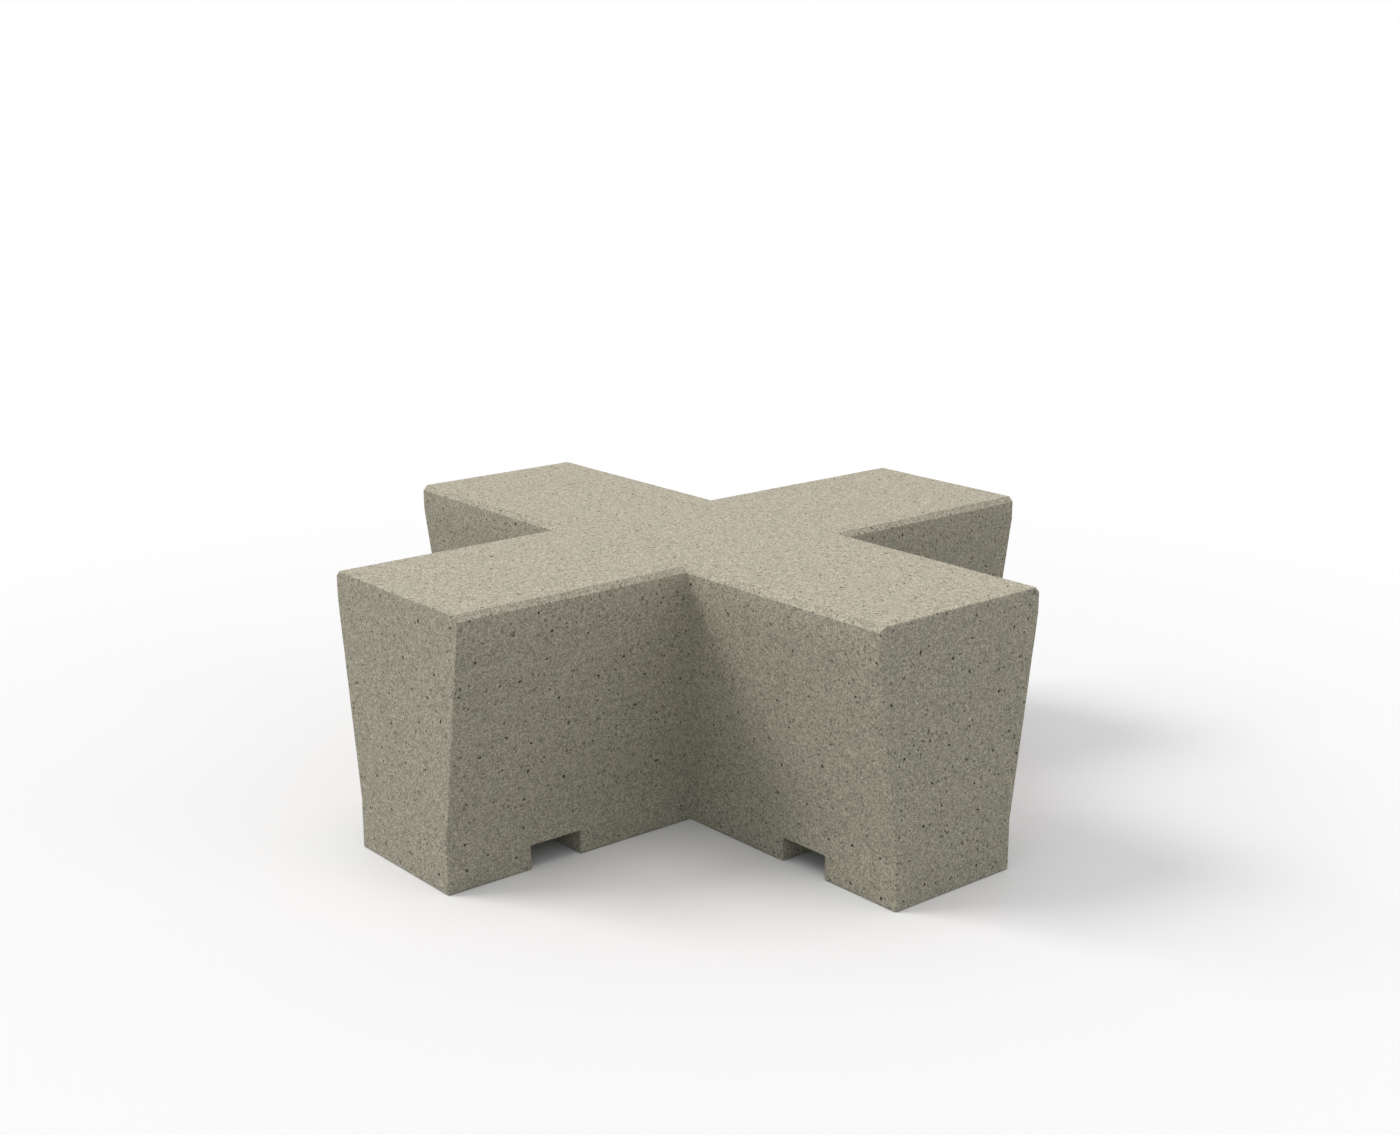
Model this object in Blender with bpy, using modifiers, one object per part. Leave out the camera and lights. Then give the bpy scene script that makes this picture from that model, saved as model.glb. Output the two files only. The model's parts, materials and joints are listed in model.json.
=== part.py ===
"""A cross-shaped precast concrete barrier block, with the steel cage that is cast into it.

Four arms leave one centre along X and Y. Each arm is narrower at its foot than at its top, and a fork
slot runs across under it. Inside, two crossing cages of bars and closed links stand on cover blocks,
whose feet come out flush in the roofs of the fork slots.
"""

import math

import bmesh
import bpy
from mathutils import Matrix, Vector

# Concrete block, in metres
SPAN = 1.600
HEIGHT = 0.600
ARM_TOP_WIDTH = 0.454
SIDE_BATTER = 0.061
PLINTH_HEIGHT = 0.111
LIP_HEIGHT = 0.055
TOP_CHAMFER = 0.010
ARRIS = 0.002

# Fork slots
FORK_SPACING = 1.063
FORK_SLOT_WIDTH = 0.127
FORK_SLOT_HEIGHT = 0.053

# Reinforcement
COVER = 0.040
BAR_DIAMETER = 0.012
LINK_DIAMETER = 0.008
LINK_BEND_RADIUS = 0.020
LINK_END_SHARE = 0.2
HAIRPIN_BEND_RADIUS = 0.030
HAIRPIN_LEG = 0.300
CORNER_BAR_LENGTH = 0.280

# Cover blocks under the lowest bars
BLOCK_FOOT = 0.044
BLOCK_TOP = 0.030
SADDLE_DEPTH = 0.004

# Gap between a cast-in piece and what it touches
FIT_GAP = 0.0003

# Facets
BAR_RESOLUTION = 2
LINK_RESOLUTION = 1
BEND_STEPS = 2
SHARP_EDGE = math.radians(60)
SMOOTH_ANGLE = math.radians(50)

# How far a cutter runs past the face that it opens
OVERRUN = 0.010

BAR_RADIUS = BAR_DIAMETER / 2
LINK_RADIUS = LINK_DIAMETER / 2
HALF_SPAN = SPAN / 2
TOP_HALF_WIDTH = ARM_TOP_WIDTH / 2
FOOT_HALF_WIDTH = TOP_HALF_WIDTH - SIDE_BATTER
SLOT_CENTRE = FORK_SPACING / 2

# The cage along Y lies one bar above the cage along X, so that their bars cross without meeting
LAYER_STEP = BAR_DIAMETER + FIT_GAP
SEAT = LINK_RADIUS + FIT_GAP + BAR_RADIUS
LOW_LINK_Z = FORK_SLOT_HEIGHT + COVER + LINK_RADIUS
HIGH_LINK_Z = HEIGHT - COVER - LINK_RADIUS - LAYER_STEP
LOW_BAR_Z = LOW_LINK_Z + SEAT
HIGH_BAR_Z = HIGH_LINK_Z - SEAT
LOW_LINK_Y = FOOT_HALF_WIDTH - COVER - LINK_RADIUS
HIGH_LINK_Y = TOP_HALF_WIDTH - COVER - LINK_RADIUS
BAR_END = HALF_SPAN - COVER
HAIRPIN_WEB = BAR_END - BAR_RADIUS

ARMS = ("right", "back", "left", "front")


def clear_scene():
    for old in list(bpy.data.objects):
        bpy.data.objects.remove(old, do_unlink=True)


def new_collection(name):
    collection = bpy.data.collections.new(name)
    bpy.context.scene.collection.children.link(collection)
    return collection


def new_material(name, colour, roughness, metallic):
    material = bpy.data.materials.new(name)
    material.use_nodes = True
    shader = material.node_tree.nodes["Principled BSDF"]
    shader.inputs["Base Color"].default_value = (*colour, 1.0)
    shader.inputs["Roughness"].default_value = roughness
    shader.inputs["Metallic"].default_value = metallic
    material.diffuse_color = (*colour, 1.0)
    return material


def as_mesh(source, collection):
    """Replaces a curve object by a mesh object of the same name and place, with its caps welded on."""
    graph = bpy.context.evaluated_depsgraph_get()
    mesh = bpy.data.meshes.new_from_object(source.evaluated_get(graph))
    shape = bmesh.new()
    shape.from_mesh(mesh)
    bmesh.ops.remove_doubles(shape, verts=shape.verts, dist=1e-6)
    bmesh.ops.recalc_face_normals(shape, faces=shape.faces)
    shape.to_mesh(mesh)
    shape.free()
    name, place = source.name, source.matrix_world.copy()
    curve = source.data
    bpy.data.objects.remove(source, do_unlink=True)
    bpy.data.curves.remove(curve)
    mesh.name = name
    result = bpy.data.objects.new(name, mesh)
    result.matrix_world = place
    collection.objects.link(result)
    return result


def mesh_object(name, shape, collection):
    mesh = bpy.data.meshes.new(name)
    shape.to_mesh(mesh)
    shape.free()
    result = bpy.data.objects.new(name, mesh)
    collection.objects.link(result)
    return result


def as_cutter(cutter):
    cutter.hide_render = True
    cutter.display_type = "WIRE"
    return cutter


def add_boolean(target, cutter, operation):
    boolean = target.modifiers.new(operation.lower(), "BOOLEAN")
    boolean.operation = operation
    boolean.solver = "EXACT"
    boolean.object = cutter


def prism(name, outline, length, rotation, collection):
    """A flat outline, thickened to length about its own plane and turned into place."""
    curve = bpy.data.curves.new(name, "CURVE")
    curve.dimensions = "2D"
    curve.fill_mode = "BOTH"
    curve.extrude = length / 2
    spline = curve.splines.new("POLY")
    spline.points.add(len(outline) - 1)
    for point, (x, y) in zip(spline.points, outline):
        point.co = (x, y, 0, 1)
    spline.use_cyclic_u = True
    source = bpy.data.objects.new(name, curve)
    source.rotation_euler = rotation
    collection.objects.link(source)
    bpy.context.view_layer.update()
    return as_mesh(source, collection)


def box(name, size, centre, collection):
    shape = bmesh.new()
    bmesh.ops.create_cube(shape, size=1.0, matrix=Matrix.Translation(centre) @ Matrix.Diagonal((*size, 1)))
    return mesh_object(name, shape, collection)


def frustum(name, low_width, high_width, centre, low, high, collection):
    """A square block that narrows upwards, between two heights."""
    shape = bmesh.new()
    place = Matrix.Translation((centre[0], centre[1], (low + high) / 2))
    bmesh.ops.create_cone(
        shape,
        cap_ends=True,
        segments=4,
        radius1=low_width / math.sqrt(2),
        radius2=high_width / math.sqrt(2),
        depth=high - low,
        matrix=place @ Matrix.Rotation(math.radians(45), 4, "Z"),
    )
    return mesh_object(name, shape, collection)


def bent(corners, radius, closed):
    """The centre line of a bar through these corners, each one an arc of the bend radius."""
    line = []
    count = len(corners)
    for i, corner in enumerate(corners):
        if not closed and i in (0, count - 1):
            line.append(corner)
            continue
        back = (corners[i - 1] - corner).normalized()
        ahead = (corners[(i + 1) % count] - corner).normalized()
        half_angle = back.angle(ahead) / 2
        middle = corner + (back + ahead).normalized() * (radius / math.sin(half_angle))
        start = corner + back * (radius / math.tan(half_angle)) - middle
        turn = Matrix.Rotation((math.pi - 2 * half_angle) / BEND_STEPS, 3, back.cross(ahead) * -1)
        for _ in range(BEND_STEPS + 1):
            line.append(middle + start)
            start = turn @ start
    return line


def rod(name, line, diameter, resolution, closed, collection):
    """A bar along a centre line. Its flats, not its corners, face up and down and stand at its radius."""
    sides = 4 + 2 * resolution
    flats_up = math.pi / sides if sides % 4 == 0 else 0.0
    curve = bpy.data.curves.new(name, "CURVE")
    curve.dimensions = "3D"
    curve.bevel_depth = diameter / 2 / math.cos(math.pi / sides)
    curve.bevel_resolution = resolution
    curve.use_fill_caps = not closed
    spline = curve.splines.new("POLY")
    spline.points.add(len(line) - 1)
    for point, place in zip(spline.points, line):
        point.co = (*place, 1)
        point.tilt = flats_up
    spline.use_cyclic_u = closed
    source = bpy.data.objects.new(name, curve)
    collection.objects.link(source)
    bpy.context.view_layer.update()
    return as_mesh(source, collection)


def lengthened(line, extra):
    first = line[0] + (line[0] - line[1]).normalized() * extra
    last = line[-1] + (line[-1] - line[-2]).normalized() * extra
    return [first, *line[1:-1], last]


class Cage:
    """Makes each bar, and the hole that the concrete keeps around it."""

    def __init__(self, parts, voids, steel):
        self.parts = parts
        self.voids = voids
        self.steel = steel

    def add(self, name, line, diameter, resolution, closed=False):
        piece = rod(name, line, diameter, resolution, closed, self.parts)
        finish(piece, self.steel)
        void_line = line if closed else lengthened(line, FIT_GAP)
        void = rod(name + "_void", void_line, diameter + 2 * FIT_GAP, resolution, closed, self.voids)
        return as_cutter(void)


def finish(piece, material):
    piece.data.materials.clear()
    piece.data.materials.append(material)
    piece.data.shade_smooth()
    piece.data.set_sharp_from_angle(angle=SMOOTH_ANGLE)


def arm_turn(arm):
    """Turns and lifts a point given for the right arm, which runs along +X, to its place in this arm."""
    quarter = ARMS.index(arm)
    lift = LAYER_STEP * (quarter % 2)
    return Matrix.Translation((0, 0, lift)) @ Matrix.Rotation(quarter * math.pi / 2, 4, "Z")


def bar_offset(half_width, turn):
    """How far from the middle a long bar lies on a link's leg, just clear of the link's bend."""
    return half_width - LINK_BEND_RADIUS * math.tan(turn / 2) - BAR_RADIUS


def leg_lean():
    """The angle of a link's side leg from the vertical."""
    return math.atan2(HIGH_LINK_Y - LOW_LINK_Y, HIGH_LINK_Z - LOW_LINK_Z)


def low_bar_y():
    return bar_offset(LOW_LINK_Y, math.pi / 2 - leg_lean())


def high_bar_y():
    return bar_offset(HIGH_LINK_Y, math.pi / 2 + leg_lean())


def link_stations():
    """Distances from the centre of the links of one arm: two on each side of the fork slot."""
    stretches = (
        (TOP_HALF_WIDTH, SLOT_CENTRE - FORK_SLOT_WIDTH / 2),
        (SLOT_CENTRE + FORK_SLOT_WIDTH / 2, HAIRPIN_WEB - HAIRPIN_BEND_RADIUS),
    )
    stations = []
    for start, end in stretches:
        for share in (LINK_END_SHARE, 1 - LINK_END_SHARE):
            stations.append(start + share * (end - start))
    return stations


def make_beam(name, rotation, collection):
    """One straight beam of the cross, chamfered along its long top edges and cut square at the ends."""
    section = [
        (FOOT_HALF_WIDTH, 0),
        (FOOT_HALF_WIDTH, PLINTH_HEIGHT),
        (TOP_HALF_WIDTH, HEIGHT - LIP_HEIGHT),
        (TOP_HALF_WIDTH, HEIGHT - TOP_CHAMFER),
        (TOP_HALF_WIDTH - TOP_CHAMFER, HEIGHT),
    ]
    section += [(-y, z) for y, z in reversed(section)]
    side = [(HALF_SPAN, 0), (HALF_SPAN, HEIGHT)]
    side += [(-x, z) for x, z in reversed(side)]
    right_angle = math.pi / 2
    beam = prism(name, section, SPAN + OVERRUN, (right_angle, 0, right_angle + rotation), collection)
    ends = prism(
        name + "_ends", side, ARM_TOP_WIDTH + OVERRUN, (right_angle, 0, rotation), bpy.data.collections["cutters"]
    )
    add_boolean(beam, as_cutter(ends), "INTERSECT")
    arris = beam.modifiers.new("arris", "BEVEL")
    arris.width = ARRIS
    arris.segments = 1
    arris.limit_method = "ANGLE"
    arris.angle_limit = SHARP_EDGE
    return beam


def make_slot_cutter(arm):
    height = FORK_SLOT_HEIGHT + OVERRUN
    across = ARM_TOP_WIDTH + OVERRUN
    cutter = box(
        f"fork_slot_{arm}",
        (FORK_SLOT_WIDTH, across, height),
        (SLOT_CENTRE, 0, FORK_SLOT_HEIGHT - height / 2),
        bpy.data.collections["cutters"],
    )
    cutter.rotation_euler = (0, 0, ARMS.index(arm) * math.pi / 2)
    return as_cutter(cutter)


def make_long_bars(cage):
    """The four bars of each cage. Returns the holes of the lower ones by name, for their cover blocks."""
    seats = {}
    for axis, arm, sides in (("x", "right", ("front", "back")), ("y", "back", ("right", "left"))):
        place = arm_turn(arm)
        for level, across, z in (("bottom", low_bar_y(), LOW_BAR_Z), ("top", high_bar_y(), HIGH_BAR_Z)):
            for side, sign in zip(sides, (-1, 1)):
                line = [place @ Vector((x, sign * across, z)) for x in (-BAR_END, BAR_END)]
                void = cage.add(f"{level}_bar_{axis}_{side}", line, BAR_DIAMETER, BAR_RESOLUTION)
                seats[level, axis, side] = void
    return {key[1:]: void for key, void in seats.items() if key[0] == "bottom"}


def make_links(cage, arm):
    place = arm_turn(arm)
    for number, station in enumerate(link_stations(), 1):
        corners = [
            place @ Vector((station, -LOW_LINK_Y, LOW_LINK_Z)),
            place @ Vector((station, LOW_LINK_Y, LOW_LINK_Z)),
            place @ Vector((station, HIGH_LINK_Y, HIGH_LINK_Z)),
            place @ Vector((station, -HIGH_LINK_Y, HIGH_LINK_Z)),
        ]
        line = bent(corners, LINK_BEND_RADIUS, closed=True)
        cage.add(f"link_{arm}_{number}", line, LINK_DIAMETER, LINK_RESOLUTION, closed=True)


def make_hairpin(cage, arm):
    place = arm_turn(arm)
    back = HAIRPIN_WEB - HAIRPIN_LEG
    corners = [
        place @ Vector((back, 0, LOW_BAR_Z)),
        place @ Vector((HAIRPIN_WEB, 0, LOW_BAR_Z)),
        place @ Vector((HAIRPIN_WEB, 0, HIGH_BAR_Z)),
        place @ Vector((back, 0, HIGH_BAR_Z)),
    ]
    line = bent(corners, HAIRPIN_BEND_RADIUS, closed=False)
    cage.add(f"end_hairpin_{arm}", line, BAR_DIAMETER, BAR_RESOLUTION)


def make_corner_bars(cage, arm):
    """Diagonal bars across the inner corner between this arm and the next, against cracks from the corner."""
    following = ARMS[(ARMS.index(arm) + 1) % len(ARMS)]
    turn = Matrix.Rotation(ARMS.index(arm) * math.pi / 2, 4, "Z")
    reach = CORNER_BAR_LENGTH / 2 / math.sqrt(2)
    inward = (COVER + BAR_RADIUS) / math.sqrt(2)
    levels = (
        ("bottom", FOOT_HALF_WIDTH - inward, LOW_BAR_Z + 2 * LAYER_STEP),
        ("top", TOP_HALF_WIDTH - inward, HIGH_BAR_Z - LAYER_STEP),
    )
    for level, middle, z in levels:
        line = [turn @ Vector((middle + s, middle - s, z)) for s in (-reach, reach)]
        cage.add(f"corner_bar_{level}_{arm}_{following}", line, BAR_DIAMETER, BAR_RESOLUTION)


def make_cover_blocks(parts, voids, mortar, seats, arm):
    """Two mortar blocks that carry the arm's lower bars above the fork slot, each with a saddle for its bar."""
    place = arm_turn(arm)
    lift = place.translation.z
    axis = "xy"[ARMS.index(arm) % 2]
    low = FORK_SLOT_HEIGHT
    high = LOW_BAR_Z + lift - BAR_RADIUS + SADDLE_DEPTH
    slope = (BLOCK_FOOT - BLOCK_TOP) / (high - low)
    for (seat_axis, side), seat in seats.items():
        if seat_axis != axis:
            continue
        sign = -1 if side in ("front", "right") else 1
        if arm in ("left", "front"):
            sign = -sign
        centre = place @ Vector((SLOT_CENTRE, sign * low_bar_y(), 0))
        name = f"cover_block_{arm}_{side}"
        block = frustum(name, BLOCK_FOOT, BLOCK_TOP, centre, low, high, parts)
        add_boolean(block, seat, "DIFFERENCE")
        finish(block, mortar)
        void = frustum(
            name + "_void",
            BLOCK_FOOT + slope * OVERRUN + 2 * FIT_GAP,
            BLOCK_TOP - slope * FIT_GAP + 2 * FIT_GAP,
            centre,
            low - OVERRUN,
            high + FIT_GAP,
            voids,
        )
        as_cutter(void)


def make_concrete(cutters, voids, parts, concrete):
    body = make_beam("concrete_body", 0, parts)
    crossing = as_cutter(make_beam("crossing_beam", math.pi / 2, cutters))
    add_boolean(body, crossing, "UNION")
    body.modifiers.new("weld", "WELD").merge_threshold = FIT_GAP / 10
    for arm in ARMS:
        add_boolean(body, make_slot_cutter(arm), "DIFFERENCE")
    hollow = body.modifiers.new("cage_voids", "BOOLEAN")
    hollow.operation = "DIFFERENCE"
    hollow.solver = "EXACT"
    hollow.operand_type = "COLLECTION"
    hollow.collection = voids
    finish(body, concrete)


def main():
    clear_scene()
    parts = new_collection("cross_barrier_block")
    cutters = new_collection("cutters")
    voids = new_collection("cage_voids")
    concrete = new_material("cast_concrete", (0.42, 0.40, 0.34), 0.85, 0.0)
    steel = new_material("rebar_steel", (0.19, 0.14, 0.11), 0.60, 0.8)
    mortar = new_material("cover_mortar", (0.47, 0.46, 0.44), 0.90, 0.0)
    cage = Cage(parts, voids, steel)
    seats = make_long_bars(cage)
    for arm in ARMS:
        make_links(cage, arm)
        make_hairpin(cage, arm)
        make_corner_bars(cage, arm)
        make_cover_blocks(parts, voids, mortar, seats, arm)
    make_concrete(cutters, voids, parts, concrete)


main()
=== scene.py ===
"""Looks of the cross-shaped concrete barrier block: its dressed casting, the cast-in steel, light and camera.

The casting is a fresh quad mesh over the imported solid, with rounded, slightly worn arrises and open air
pits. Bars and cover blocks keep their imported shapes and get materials. Lengths are in metres.
"""

import json
import math
import random
from collections import namedtuple

import bmesh
import bpy
from mathutils import Matrix, Vector, noise


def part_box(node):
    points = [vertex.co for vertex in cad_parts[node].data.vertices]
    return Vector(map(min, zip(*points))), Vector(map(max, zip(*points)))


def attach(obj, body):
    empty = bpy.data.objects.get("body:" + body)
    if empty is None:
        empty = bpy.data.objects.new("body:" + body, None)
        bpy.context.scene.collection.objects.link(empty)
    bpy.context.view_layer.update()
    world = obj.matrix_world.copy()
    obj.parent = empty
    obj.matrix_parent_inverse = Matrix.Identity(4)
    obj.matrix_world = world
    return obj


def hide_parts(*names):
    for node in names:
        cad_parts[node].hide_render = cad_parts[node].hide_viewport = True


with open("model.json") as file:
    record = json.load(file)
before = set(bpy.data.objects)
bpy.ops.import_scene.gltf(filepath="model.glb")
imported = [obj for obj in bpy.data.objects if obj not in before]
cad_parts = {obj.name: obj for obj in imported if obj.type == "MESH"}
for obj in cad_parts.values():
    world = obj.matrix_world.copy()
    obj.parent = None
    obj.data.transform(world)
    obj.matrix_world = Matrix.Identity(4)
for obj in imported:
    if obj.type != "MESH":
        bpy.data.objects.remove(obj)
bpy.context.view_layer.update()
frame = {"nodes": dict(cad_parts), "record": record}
record = frame["record"]
block_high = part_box("concrete_body")[1]

Grain = namedtuple("Grain", "scale radius share colour")
Lamp = namedtuple("Lamp", "azimuth elevation level softness red")

# Casting
HALF_SPAN = block_high.x
HEIGHT = block_high.z
TOP_HALF_WIDTH = 0.227
FOOT_HALF_WIDTH = 0.166
PLINTH_HEIGHT = 0.111
LIP_HEIGHT = 0.055
TOP_CHAMFER = 0.012
SLOT_NEAR = 0.468
SLOT_FAR = 0.595
SLOT_HEIGHT = 0.053
ARMS = 4

# Grid of the casting's mesh
CELL = 0.030
END_CELLS = 15
INNER_CELLS = 8
SLOT_CELLS = 4
OUTER_CELLS = 7
WELD = 1e-5
POCKET_GAP = 0.0003
POCKET_OVERRUN = 0.010

# Arrises
ARRIS = 0.0035
TIGHT_ARRIS = 0.0020
ARRIS_SEGMENTS = 4
ARRIS_ANGLE = math.radians(60)
ARRIS_WEAR = 0.0007
WORN_ANGLE = math.radians(8)
WEAR_SCALE = 21.0
FINE_WEAR_RATIO = 3.1
FINE_WEAR_SHARE = 0.5
SMOOTH_ANGLE = math.radians(40)

# Air pits
PIT_SEED = 7
PITS_PER_SQUARE_METRE = 130
PIT_RADIUS = (0.0023, 0.0038)
PIT_DEPTH_SHARE = (0.55, 0.95)
PIT_RAGGEDNESS = 0.22
PIT_FLOOR_SHARE = 0.85
PIT_POINTS = 8
PIT_FIRST_ANGLE = 0.75 * math.pi
PIT_HOST_SIDE = 0.018
PIT_LOWEST_NORMAL = -0.5
PIT_SPACING = 0.055
PIT_MARGIN = 0.27

# Colours of the materials. A grain's scale is in cells per metre and its radius in cells.
PASTE = ((0.453, 0.424, 0.334, 1), (0.459, 0.423, 0.335, 1))
GRAINS = {
    "pale": Grain(62.0, 0.16, 0.30, (0.78, 0.75, 0.66, 1)),
    "brown": Grain(62.0, 0.28, 0.65, (0.16, 0.135, 0.10, 1)),
    "black": Grain(75.0, 0.24, 0.75, (0.055, 0.047, 0.038, 1)),
}
GRAIN_RIM = 0.25
# Painted shade: the floors of the air pits are darkened almost to black.
PIT_PAINTED_SHADE = (0.060, 0.053, 0.042, 1)
PIT_PAINTED_SHADE_SHARE = 0.95
SAND_RELIEF = 0.6
GRAIN_RELIEF = 0.8
MILL_SCALE = ((0.075, 0.078, 0.085, 1), (0.15, 0.145, 0.14, 1))
RUST = ((0.17, 0.070, 0.030, 1), (0.30, 0.135, 0.055, 1))
STEEL_RELIEF = 0.15
MORTAR = ((0.40, 0.395, 0.375, 1), (0.50, 0.49, 0.465, 1))

# Light, in degrees. A lamp's red is set against a green of 1.
LAMPS = {
    "key": Lamp(225, 50, level=0.288, softness=24, red=1.035),
    "low": Lamp(210, 35, level=0.065, softness=14, red=1.035),
    "side": Lamp(240, 35, level=0.062, softness=14, red=1.035),
    "fill": Lamp(30, 28, level=0.047, softness=34, red=1.150),
    "top": Lamp(0, 88, level=0.184, softness=34, red=1.200),
}
LAMP_BLUE = 0.968
SKY_LEVEL = 0.521
SKY_TINT = (0.930, 1, 1.016, 1)
WHITE = (1, 1, 1, 1)

# Floor and camera
# Painted shade: the floor is a little darker and cooler within the first fade distance from the block, and
# paler beyond the second.
FLOOR_NEAR_PAINTED_SHADE = (0.938, 0.949, 0.962, 1)
FLOOR_FAR = (0.994, 0.994, 0.998, 1)
FLOOR_FADE = (1.5, 4.0)
FLOOR_BOUNCE = (0.37, 0.37, 0.37, 1)
FLOOR_SIZE = 80.0
FLOOR_DROP = 0.0003
CAMERA_PLACE = Vector((3.2744, -2.7462, 1.6583))
CAMERA_AZIMUTH = math.radians(50.01)
CAMERA_TILT = math.radians(14.99)
CAMERA_LENS = 50.27
CAMERA_SENSOR = 36.0


class Tree:
    """A short way to write the nodes of a material or a world."""

    def __init__(self, owner):
        owner.use_nodes = True
        self.nodes = owner.node_tree.nodes
        self.links = owner.node_tree.links
        self.nodes.clear()

    def add(self, kind, settings=None, **inputs):
        node = self.nodes.new(kind)
        for name, value in (settings or {}).items():
            setattr(node, name, value)
        for name, value in inputs.items():
            self.put(node.inputs[name.replace("_", " ")], value)
        return node

    def put(self, socket, value):
        if isinstance(value, bpy.types.NodeSocket):
            self.links.new(value, socket)
        else:
            socket.default_value = value

    def place(self):
        return self.add("ShaderNodeTexCoord").outputs["Object"]

    def math(self, operation, first, second, clamp=False):
        node = self.add("ShaderNodeMath", {"operation": operation, "use_clamp": clamp})
        self.put(node.inputs[0], first)
        self.put(node.inputs[1], second)
        return node.outputs[0]

    def mix(self, share, first, second, blend="MIX"):
        node = self.add("ShaderNodeMix", {"data_type": "RGBA", "blend_type": blend})
        self.put(node.inputs["Factor"], share)
        self.put(node.inputs["A"], first)
        self.put(node.inputs["B"], second)
        return node.outputs["Result"]

    def span(self, value, low, high, to_low=0.0, to_high=1.0):
        """A smooth step of a value, from one range to another."""
        node = self.add("ShaderNodeMapRange", {"interpolation_type": "SMOOTHSTEP"}, Value=value)
        for name, number in (("From Min", low), ("From Max", high), ("To Min", to_low), ("To Max", to_high)):
            node.inputs[name].default_value = number
        return node.outputs["Result"]

    def noise(self, place, scale, detail=2.0, roughness=0.5):
        node = self.add("ShaderNodeTexNoise", Vector=place, Scale=scale, Detail=detail, Roughness=roughness)
        return node.outputs["Fac"]

    def cells(self, place, scale):
        """The distance from the nearest cell's centre, and a random number for each cell."""
        node = self.add("ShaderNodeTexVoronoi", Vector=place, Scale=scale)
        parted = self.add("ShaderNodeSeparateColor", Color=node.outputs["Color"])
        return node.outputs["Distance"], parted.outputs["Red"]

    def sand(self, place, scale, darkest, palest):
        """A brightness for each grain of sand."""
        return self.span(self.cells(place, scale)[1], 0.0, 1.0, to_low=darkest, to_high=palest)

    def surface(self, colour, rough, height, strength, depth, **more):
        """A surface with a bump, as the material's output."""
        bump = self.add("ShaderNodeBump", Height=height, Strength=strength, Distance=depth)
        more["Normal"] = bump.outputs["Normal"]
        shader = self.add("ShaderNodeBsdfPrincipled", Base_Color=colour, Roughness=rough, **more)
        self.add("ShaderNodeOutputMaterial", Surface=shader.outputs["BSDF"])

    def by_ray(self, lighting, seen):
        """One shader for rays that only light, another for rays that show it to the viewer, also mirrored."""
        path = self.add("ShaderNodeLightPath").outputs
        share = self.math("ADD", path["Is Camera Ray"], path["Is Glossy Ray"])
        node = self.add("ShaderNodeMixShader")
        self.put(node.inputs[0], self.math("ADD", share, path["Is Transmission Ray"], clamp=True))
        self.put(node.inputs[1], lighting)
        self.put(node.inputs[2], seen)
        return node.outputs["Shader"]


def grain_mask(tree, place, grain):
    """Scattered round grains, each of its own size: 1 inside a grain, 0 in the paste."""
    distance, size = tree.cells(place, grain.scale)
    inside = tree.math("SUBTRACT", tree.math("MULTIPLY", size, grain.radius), distance)
    return tree.span(inside, 0.0, GRAIN_RIM * grain.radius)


def concrete_material():
    """Sandblasted grey-buff concrete: sand, dark and pale grains, faint warm and green mottling, and painted
    shade on the floors of the air pits.
    """
    material = bpy.data.materials.new("cast_concrete_dressed")
    tree = Tree(material)
    place = tree.place()

    hue = tree.noise(place, scale=17.0, detail=3.0, roughness=0.6)
    colour = tree.mix(tree.span(hue, 0.38, 0.62), *PASTE)

    mottle = tree.noise(place, scale=70.0, detail=3.0, roughness=0.55)
    mottle = tree.span(mottle, 0.25, 0.75, to_low=0.93, to_high=1.07)
    sand = tree.sand(place, scale=320.0, darkest=0.74, palest=1.26)
    fine = tree.sand(place, scale=560.0, darkest=0.78, palest=1.22)
    level = tree.math("MULTIPLY", tree.math("MULTIPLY", mottle, sand), fine)
    colour = tree.mix(1.0, colour, level, "MULTIPLY")

    masks = {name: grain_mask(tree, place, grain) for name, grain in GRAINS.items()}
    for name, grain in GRAINS.items():
        colour = tree.mix(tree.math("MULTIPLY", masks[name], grain.share), colour, grain.colour)
    # Painted shade on the pit floors, where the pit attribute is 1.
    pit = tree.add("ShaderNodeAttribute", {"attribute_name": "pit"}).outputs["Fac"]
    colour = tree.mix(tree.math("MULTIPLY", pit, PIT_PAINTED_SHADE_SHARE), colour, PIT_PAINTED_SHADE)

    height = tree.noise(place, scale=330.0, detail=3.0, roughness=0.6)
    height = tree.math("ADD", height, tree.math("MULTIPLY", sand, SAND_RELIEF))
    height = tree.math("SUBTRACT", height, tree.math("MULTIPLY", masks["black"], GRAIN_RELIEF))
    rough = tree.span(tree.noise(place, scale=120.0), 0.3, 0.7, to_low=0.82, to_high=0.95)
    tree.surface(colour, rough, height, strength=0.35, depth=0.0008, Specular_IOR_Level=0.25)
    return material


def rebar_material():
    """Hot-rolled bar: blue-grey mill scale, patches of light rust, and slanting rolled ribs."""
    material = bpy.data.materials.new("rebar_dressed")
    tree = Tree(material)
    place = tree.place()
    rust = tree.span(tree.noise(place, scale=55.0, detail=5.0, roughness=0.65), 0.42, 0.62)
    bare = tree.mix(tree.noise(place, scale=240.0, detail=3.0), *MILL_SCALE)
    red = tree.mix(tree.noise(place, scale=380.0, detail=4.0), *RUST)
    metal = tree.span(rust, 0.0, 1.0, to_low=0.85, to_high=0.15)
    rough = tree.span(rust, 0.0, 1.0, to_low=0.48, to_high=0.85)
    bands = {"wave_type": "BANDS", "bands_direction": "DIAGONAL"}
    ribs = tree.add("ShaderNodeTexWave", bands, Vector=place, Scale=38.0, Distortion=0.0)
    ridge = tree.span(ribs.outputs["Fac"], 0.55, 0.95)
    height = tree.math("ADD", ridge, tree.math("MULTIPLY", tree.noise(place, scale=600.0), STEEL_RELIEF))
    tree.surface(tree.mix(rust, bare, red), rough, height, strength=0.8, depth=0.0009, Metallic=metal)
    return material


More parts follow.
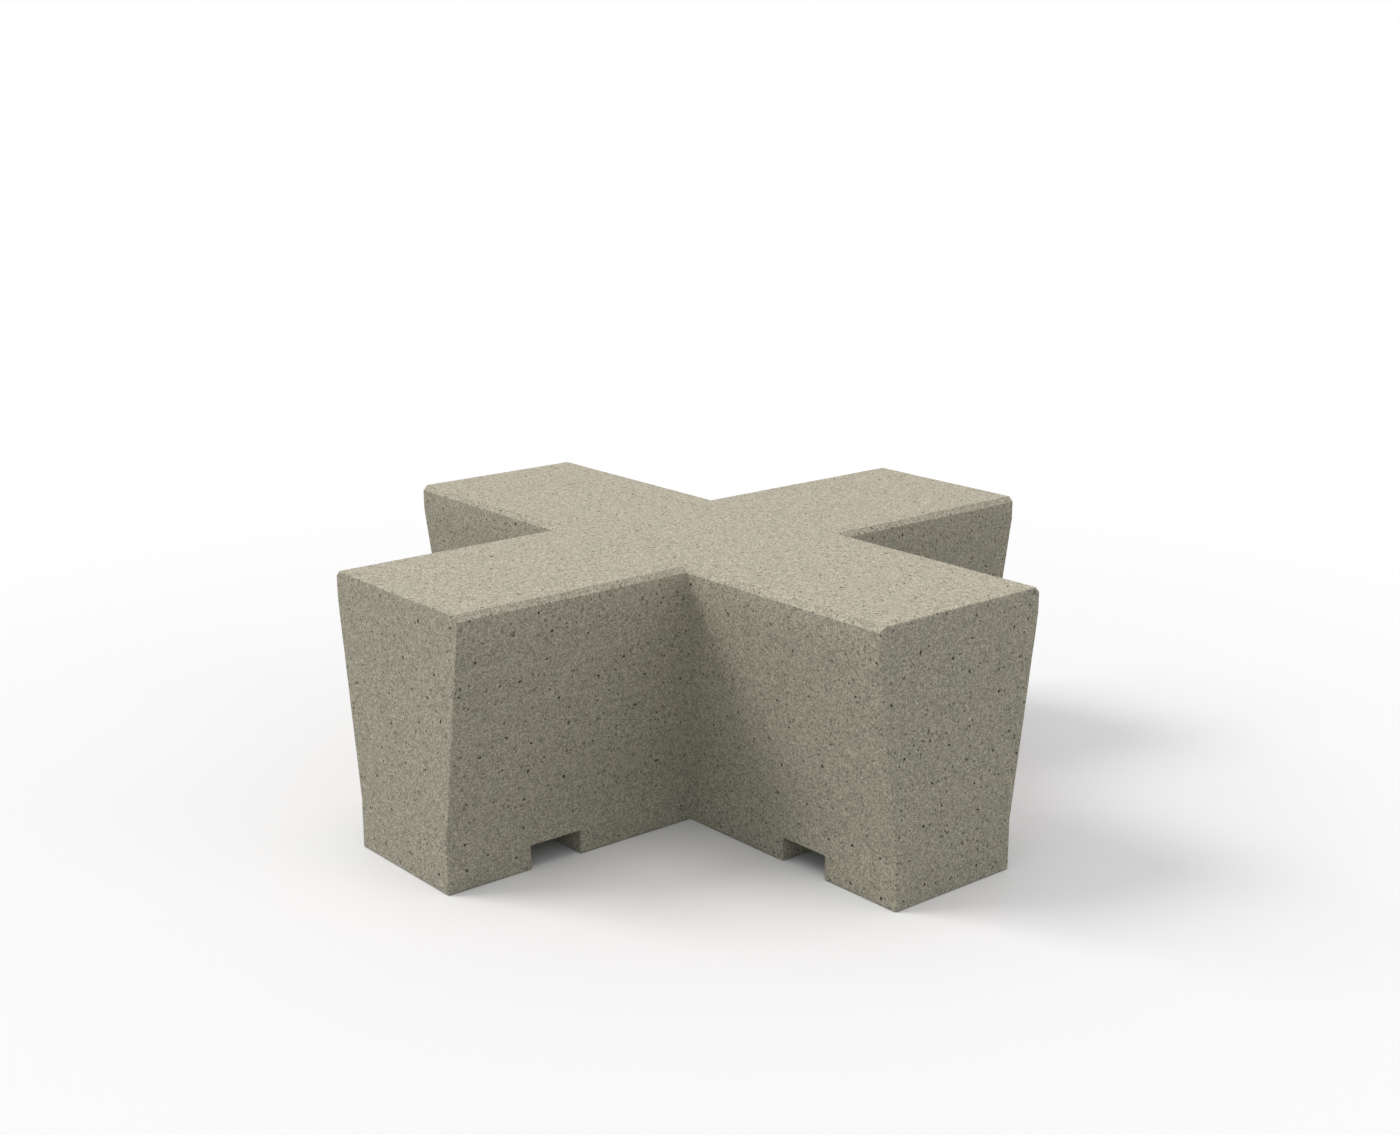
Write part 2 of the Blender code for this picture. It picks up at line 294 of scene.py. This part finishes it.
def mortar_material():
    """Plain cement mortar, paler and finer than the casting."""
    material = bpy.data.materials.new("mortar_dressed")
    tree = Tree(material)
    place = tree.place()
    cloud = tree.noise(place, scale=45.0, detail=3.0)
    sand = tree.sand(place, scale=700.0, darkest=0.86, palest=1.12)
    colour = tree.mix(1.0, tree.mix(cloud, *MORTAR), sand, "MULTIPLY")
    height = tree.noise(place, scale=800.0, detail=3.0)
    rough = tree.span(cloud, 0.3, 0.7, to_low=0.86, to_high=0.95)
    tree.surface(colour, rough, height, strength=0.3, depth=0.0005)
    return material


def add_object(name, data):
    item = bpy.data.objects.new(name, data)
    bpy.context.scene.collection.objects.link(item)
    return item


def stations(half_width, half_length):
    """Distances of the grid lines across an arm from the centre, with lines on both walls of the fork slot."""
    marks = (half_width, SLOT_NEAR, SLOT_FAR, half_length)
    line = [half_width]
    for start, end, count in zip(marks, marks[1:], (INNER_CELLS, SLOT_CELLS, OUTER_CELLS)):
        line += [start + (end - start) * (i + 1) / count for i in range(count)]
    return line


def spread(half_width):
    """Even grid lines from one side of an arm to the other."""
    return [half_width * (2 * j / END_CELLS - 1) for j in range(END_CELLS + 1)]


def arm_outline(half_width, half_length):
    """One arm's share of the cross outline: out along one side, across the end and back along the other."""
    along = stations(half_width, half_length)
    out = [(x, -half_width) for x in along[:-1]]
    across = [(half_length, y) for y in spread(half_width)[:-1]]
    back = [(x, half_width) for x in reversed(along[1:])]
    return out + across + back


def levels():
    """Rows of the casting from foot to top: height, half width and half length of the cross."""
    marks = (
        (0.0, FOOT_HALF_WIDTH, HALF_SPAN),
        (SLOT_HEIGHT, FOOT_HALF_WIDTH, HALF_SPAN),
        (PLINTH_HEIGHT, FOOT_HALF_WIDTH, HALF_SPAN),
        (HEIGHT - LIP_HEIGHT, TOP_HALF_WIDTH, HALF_SPAN),
        (HEIGHT - TOP_CHAMFER, TOP_HALF_WIDTH, HALF_SPAN),
        (HEIGHT, TOP_HALF_WIDTH - TOP_CHAMFER, HALF_SPAN),
    )
    rows = [marks[0]]
    for low, high in zip(marks, marks[1:]):
        steps = max(1, round((high[0] - low[0]) / CELL))
        for i in range(1, steps + 1):
            rows.append(tuple(a + (b - a) * i / steps for a, b in zip(low, high)))
    return rows


def add_grid(shape, rows):
    """Faces between rows of points, each row as long as the next."""
    lines = [[shape.verts.new(point) for point in row] for row in rows]
    for low, high in zip(lines, lines[1:]):
        for i in range(len(low) - 1):
            shape.faces.new((low[i], low[i + 1], high[i + 1], high[i]))


def in_slot(point):
    """Whether a point lies in the mouth or the open foot of a fork slot."""
    aside, along = sorted((abs(point.x), abs(point.y)))
    under_roof = point.z < SLOT_HEIGHT - WELD
    return under_roof and SLOT_NEAR < along < SLOT_FAR and aside < FOOT_HALF_WIDTH + WELD


def weigh_arrises(shape):
    """Marks the edges to round: the block's own in full, those of the slots and inner corners less."""
    weight = shape.edges.layers.float.new("bevel_weight_edge")
    for edge in shape.edges:
        turn = edge.calc_face_angle_signed()
        if abs(turn) < ARRIS_ANGLE:
            continue
        middle = (edge.verts[0].co + edge.verts[1].co) / 2
        reach = max(abs(middle.x), abs(middle.y))
        by_slot = middle.z < SLOT_HEIGHT + WELD and SLOT_NEAR - WELD < reach < SLOT_FAR + WELD
        edge[weight] = TIGHT_ARRIS / ARRIS if turn < 0 or by_slot else 1.0


def casting_shape():
    """The whole block as one closed quad mesh with sharp edges."""
    shape = bmesh.new()
    turns = [Matrix.Rotation(arm * math.pi / 2, 4, "Z") for arm in range(ARMS)]
    rows = levels()
    outline = []
    for z, half_width, half_length in rows:
        flat = arm_outline(half_width, half_length)
        outline.append([turn @ Vector((x, y, z)) for turn in turns for x, y in flat])
    add_grid(shape, [row + row[:1] for row in outline])
    for z, half_width, half_length in (rows[0], rows[-1]):
        across = spread(half_width)
        along = stations(half_width, half_length)
        add_grid(shape, [[Vector((x, y, z)) for x in across] for y in across])
        for turn in turns:
            add_grid(shape, [[turn @ Vector((x, y, z)) for x in along] for y in across])
    slot_faces = [face for face in shape.faces if in_slot(face.calc_center_median())]
    bmesh.ops.delete(shape, geom=slot_faces, context="FACES")
    across = spread(FOOT_HALF_WIDTH)
    slot = [x for x in stations(FOOT_HALF_WIDTH, HALF_SPAN) if SLOT_NEAR - WELD < x < SLOT_FAR + WELD]
    heights = [z for z, _, _ in rows if z < SLOT_HEIGHT + WELD]
    for turn in turns:
        add_grid(shape, [[turn @ Vector((x, y, SLOT_HEIGHT)) for x in slot] for y in across])
        for x in (SLOT_NEAR, SLOT_FAR):
            add_grid(shape, [[turn @ Vector((x, y, z)) for y in across] for z in heights])
    bmesh.ops.remove_doubles(shape, verts=shape.verts, dist=WELD)
    bmesh.ops.recalc_face_normals(shape, faces=shape.faces)
    weigh_arrises(shape)
    return shape


def baked(piece):
    """Replaces a mesh by what its modifiers make of it."""
    graph = bpy.context.evaluated_depsgraph_get()
    mesh = bpy.data.meshes.new_from_object(piece.evaluated_get(graph))
    old = piece.data
    piece.modifiers.clear()
    piece.data = mesh
    bpy.data.meshes.remove(old)


def round_arrises(piece):
    rounding = piece.modifiers.new("arris", "BEVEL")
    rounding.width = ARRIS
    rounding.segments = ARRIS_SEGMENTS
    rounding.limit_method = "WEIGHT"
    baked(piece)


def wear_arrises(shape, pit):
    """Sets the rounded edges back by an uneven millimetre at most, as handling does."""
    for vertex in shape.verts:
        if any(other[pit] > 0 for face in vertex.link_faces for other in face.verts):
            continue
        normals = [face.normal for face in vertex.link_faces]
        bend = max(normals[0].angle(other, 0.0) for other in normals[1:])
        if bend < WORN_ANGLE:
            continue
        coarse = noise.noise(vertex.co * WEAR_SCALE)
        fine = noise.noise(vertex.co * WEAR_SCALE * FINE_WEAR_RATIO)
        worn = max(0.0, coarse + FINE_WEAR_SHARE * fine)
        vertex.co -= vertex.normal * ARRIS_WEAR * worn


def place_in(face, draw):
    """A random point of a grid face, clear of its rim."""
    a, b, c, d = (vertex.co for vertex in face.verts)
    across = draw.uniform(PIT_MARGIN, 1 - PIT_MARGIN)
    up = draw.uniform(PIT_MARGIN, 1 - PIT_MARGIN)
    return a.lerp(b, across).lerp(d.lerp(c, across), up)


def open_pit(shape, layer, face, middle, draw):
    """Cuts an open air pit with a ragged rim into one grid face."""
    corners = list(face.verts)
    normal = face.normal.copy()
    side = (corners[1].co - corners[0].co).normalized()
    over = normal.cross(side)
    radius = draw.uniform(*PIT_RADIUS)
    depth = radius * draw.uniform(*PIT_DEPTH_SHARE)
    rim = []
    floor = []
    for i in range(PIT_POINTS):
        angle = 2 * math.pi * i / PIT_POINTS - PIT_FIRST_ANGLE
        reach = radius * (1 + PIT_RAGGEDNESS * draw.uniform(-1, 1))
        ray = side * math.cos(angle) + over * math.sin(angle)
        rim.append(shape.verts.new(middle + ray * reach))
        floor.append(shape.verts.new(middle + ray * reach * PIT_FLOOR_SHARE - normal * depth))
    # Marks the pit floor, which the concrete material darkens as painted shade.
    for vertex in floor:
        vertex[layer] = 1.0
    shape.faces.remove(face)
    step = PIT_POINTS // len(corners)
    for i, corner in enumerate(corners):
        following = (i + 1) % len(corners)
        inner = [rim[(i * step + k) % PIT_POINTS] for k in range(step, -1, -1)]
        shape.faces.new((corner, corners[following], *inner))
    for i in range(PIT_POINTS):
        j = (i + 1) % PIT_POINTS
        shape.faces.new((rim[i], rim[j], floor[j], floor[i]))
    shape.faces.new(floor)


def takes_pit(face):
    """Whether a face is a large enough quad that doesn't look down."""
    if len(face.verts) != 4 or face.normal.z < PIT_LOWEST_NORMAL:
        return False
    return min(edge.calc_length() for edge in face.edges) > PIT_HOST_SIDE


def open_pits(shape, layer):
    """Scatters pits over the faces that can show, none of them close to another."""
    draw = random.Random(PIT_SEED)
    hosts = [face for face in shape.faces if takes_pit(face)]
    wanted = round(PITS_PER_SQUARE_METRE * sum(face.calc_area() for face in hosts))
    draw.shuffle(hosts)
    opened = []
    for face in hosts:
        if len(opened) == wanted:
            break
        middle = place_in(face, draw)
        if all((middle - other).length > PIT_SPACING for other in opened):
            open_pit(shape, layer, face, middle, draw)
            opened.append(middle)


def weather(piece):
    """Opens the pits and wears the arrises."""
    shape = bmesh.new()
    shape.from_mesh(piece.data)
    shape.normal_update()
    pit = shape.verts.layers.float.new("pit")
    open_pits(shape, pit)
    shape.normal_update()
    wear_arrises(shape, pit)
    shape.normal_update()
    shape.to_mesh(piece.data)
    shape.free()


def pocket_cutter():
    """Boxes around the cover blocks, whose feet show in the roofs of the fork slots."""
    shape = bmesh.new()
    for part in record["subparts"]:
        if part["material_slot"] != "mortar":
            continue
        low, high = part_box(part["node"])
        low = low - Vector((POCKET_GAP, POCKET_GAP, POCKET_OVERRUN))
        high = high + Vector((POCKET_GAP, POCKET_GAP, POCKET_GAP))
        place = Matrix.LocRotScale((low + high) / 2, None, high - low)
        bmesh.ops.create_cube(shape, size=1, matrix=place)
    mesh = bpy.data.meshes.new("pockets")
    shape.to_mesh(mesh)
    shape.free()
    return add_object("pockets", mesh)


def cut_pockets(piece):
    cutter = pocket_cutter()
    cut = piece.modifiers.new("pockets", "BOOLEAN")
    cut.solver = "EXACT"
    cut.object = cutter
    baked(piece)
    bpy.data.meshes.remove(cutter.data)


def make_casting(material):
    """The dressed block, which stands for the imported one."""
    mesh = bpy.data.meshes.new("concrete_block")
    shape = casting_shape()
    shape.to_mesh(mesh)
    shape.free()
    piece = add_object("concrete_block", mesh)
    round_arrises(piece)
    weather(piece)
    cut_pockets(piece)
    piece.data.name = "concrete_block"
    piece.data.materials.clear()
    piece.data.materials.append(material)
    piece.data.shade_smooth()
    piece.data.set_sharp_from_angle(angle=SMOOTH_ANGLE)
    shading = piece.modifiers.new("flat_faces", "WEIGHTED_NORMAL")
    shading.keep_sharp = True
    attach(piece, "root")
    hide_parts("concrete_body")


def dress_cast_in_pieces(by_slot):
    """Gives the bars and cover blocks the material of their slot."""
    for part in record["subparts"]:
        if part["material_slot"] not in by_slot:
            continue
        node = frame["nodes"][part["node"]]
        node.data.materials.clear()
        node.data.materials.append(by_slot[part["material_slot"]])


def make_floor():
    """A wide pale floor that keeps the block's shadow and throws only a little light back, with painted shade
    that makes it darker near the block.
    """
    bpy.ops.mesh.primitive_plane_add(size=FLOOR_SIZE, location=(0, 0, -FLOOR_DROP))
    floor = bpy.context.object
    floor.name = "floor"
    material = bpy.data.materials.new("floor_pale")
    tree = Tree(material)
    reach = tree.add("ShaderNodeVectorMath", {"operation": "LENGTH"})
    tree.put(reach.inputs[0], tree.add("ShaderNodeNewGeometry").outputs["Position"])
    # Painted shade: darker near the block, fading out between the two fade distances.
    pale = tree.mix(tree.span(reach.outputs["Value"], *FLOOR_FADE), FLOOR_NEAR_PAINTED_SHADE, FLOOR_FAR)
    bounced = tree.add("ShaderNodeBsdfDiffuse", Color=FLOOR_BOUNCE).outputs["BSDF"]
    seen = tree.add("ShaderNodeBsdfDiffuse", Color=pale).outputs["BSDF"]
    tree.add("ShaderNodeOutputMaterial", Surface=tree.by_ray(bounced, seen))
    floor.data.materials.append(material)


def make_light():
    """An even sky that shows as white, and soft lamps."""
    world = bpy.data.worlds.new("studio")
    bpy.context.scene.world = world
    tree = Tree(world)
    sky = tree.add("ShaderNodeBackground", Color=SKY_TINT, Strength=SKY_LEVEL).outputs["Background"]
    white = tree.add("ShaderNodeBackground", Color=WHITE, Strength=1.0).outputs["Background"]
    tree.add("ShaderNodeOutputWorld", Surface=tree.by_ray(sky, white))

    for name, lamp in LAMPS.items():
        sun = bpy.data.lights.new(name, "SUN")
        sun.energy = math.pi * lamp.level
        sun.color = (lamp.red, 1, LAMP_BLUE)
        sun.angle = math.radians(lamp.softness)
        tilt = math.pi / 2 - math.radians(lamp.elevation)
        add_object(name, sun).rotation_euler = (0, tilt, math.radians(lamp.azimuth))


def make_camera():
    camera = bpy.data.cameras.new("camera")
    camera.sensor_fit = "HORIZONTAL"
    camera.sensor_width = CAMERA_SENSOR
    camera.lens = CAMERA_LENS
    camera.clip_end = 2 * FLOOR_SIZE
    viewer = add_object("camera", camera)
    viewer.location = CAMERA_PLACE
    viewer.rotation_euler = (math.pi / 2 - CAMERA_TILT, 0, CAMERA_AZIMUTH)
    bpy.context.scene.camera = viewer


make_casting(concrete_material())
dress_cast_in_pieces({"steel": rebar_material(), "mortar": mortar_material()})
make_floor()
make_light()
make_camera()
bpy.context.scene.view_settings.view_transform = "Standard"
